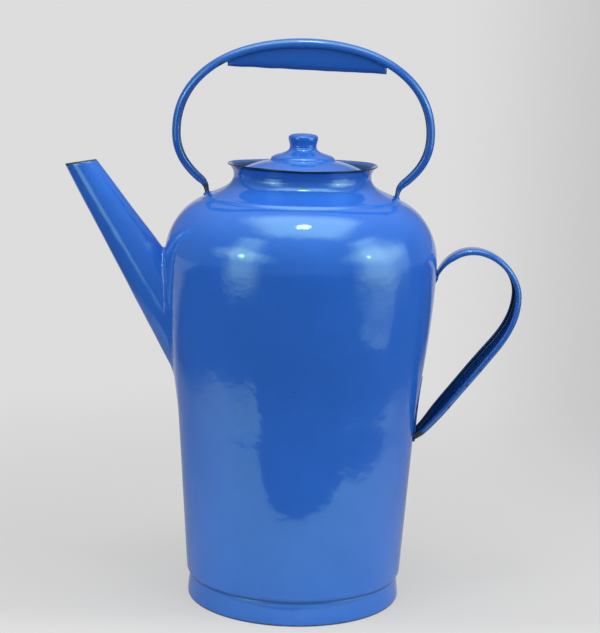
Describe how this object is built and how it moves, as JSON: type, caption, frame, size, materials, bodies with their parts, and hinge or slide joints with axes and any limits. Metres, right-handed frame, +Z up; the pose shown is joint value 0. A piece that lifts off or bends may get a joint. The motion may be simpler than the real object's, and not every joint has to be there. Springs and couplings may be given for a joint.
{
  "type": "coffee percolator",
  "caption": "Tall enamelled camp coffee pot with a straight conical spout, a fixed arched handle, a rear tipping handle, a lift-off lid and a lift-out percolator insert.",
  "frame": {"origin": "centre of the foot ring on the surface the pot stands on", "axes": "+Z up the pot's axis, -X towards the spout, +X towards the rear handle"},
  "size_m": [0.3504, 0.2084, 0.4319],
  "materials": {
    "pot_enamel": "glossy blue enamel on sheet steel, chipped to bare metal at the edges",
    "spout_enamel": "glossy blue enamel, bare at the tip",
    "handle_enamel": "glossy blue enamel, darker inside the channel, chipped along the rolled edges",
    "lid_enamel": "glossy blue enamel",
    "base_enamel": "thin dark blue enamel, scorched underneath",
    "insert_metal": "spun aluminium, dulled by use"
  },
  "bodies": {
    "pot": {"body_shell": "pot_enamel", "neck_collar": "pot_enamel", "base_pan": "base_enamel", "foot_ring": "pot_enamel", "spout": "spout_enamel", "top_handle_strap": "handle_enamel", "top_handle_grip": "handle_enamel", "rear_handle_strap": "handle_enamel"},
    "lid": {"lid_cover": "lid_enamel", "lid_skirt": "lid_enamel", "lid_knob": "lid_enamel", "knob_washer": "insert_metal"},
    "pump": {"pump_base": "insert_metal", "pump_tube": "insert_metal", "pump_collar": "insert_metal"},
    "basket": {"basket_cup": "insert_metal", "basket_sleeve": "insert_metal"},
    "spreader": {"spreader_plate": "insert_metal", "spreader_ring": "insert_metal"}
  },
  "joints": [
    {"name": "lid_lift", "type": "slide", "parent": "pot", "child": "lid", "axis": [0, 0, 1], "range_m": [0, 0.045]},
    {"name": "pump_lift", "type": "slide", "parent": "pot", "child": "pump", "axis": [0, 0, 1], "range_m": [0, 0.025]},
    {"name": "basket_lift", "type": "slide", "parent": "pump", "child": "basket", "axis": [0, 0, 1], "range_m": [0, 0.025]},
    {"name": "spreader_lift", "type": "slide", "parent": "basket", "child": "spreader", "axis": [0, 0, 1], "range_m": [0, 0.02]}
  ]
}
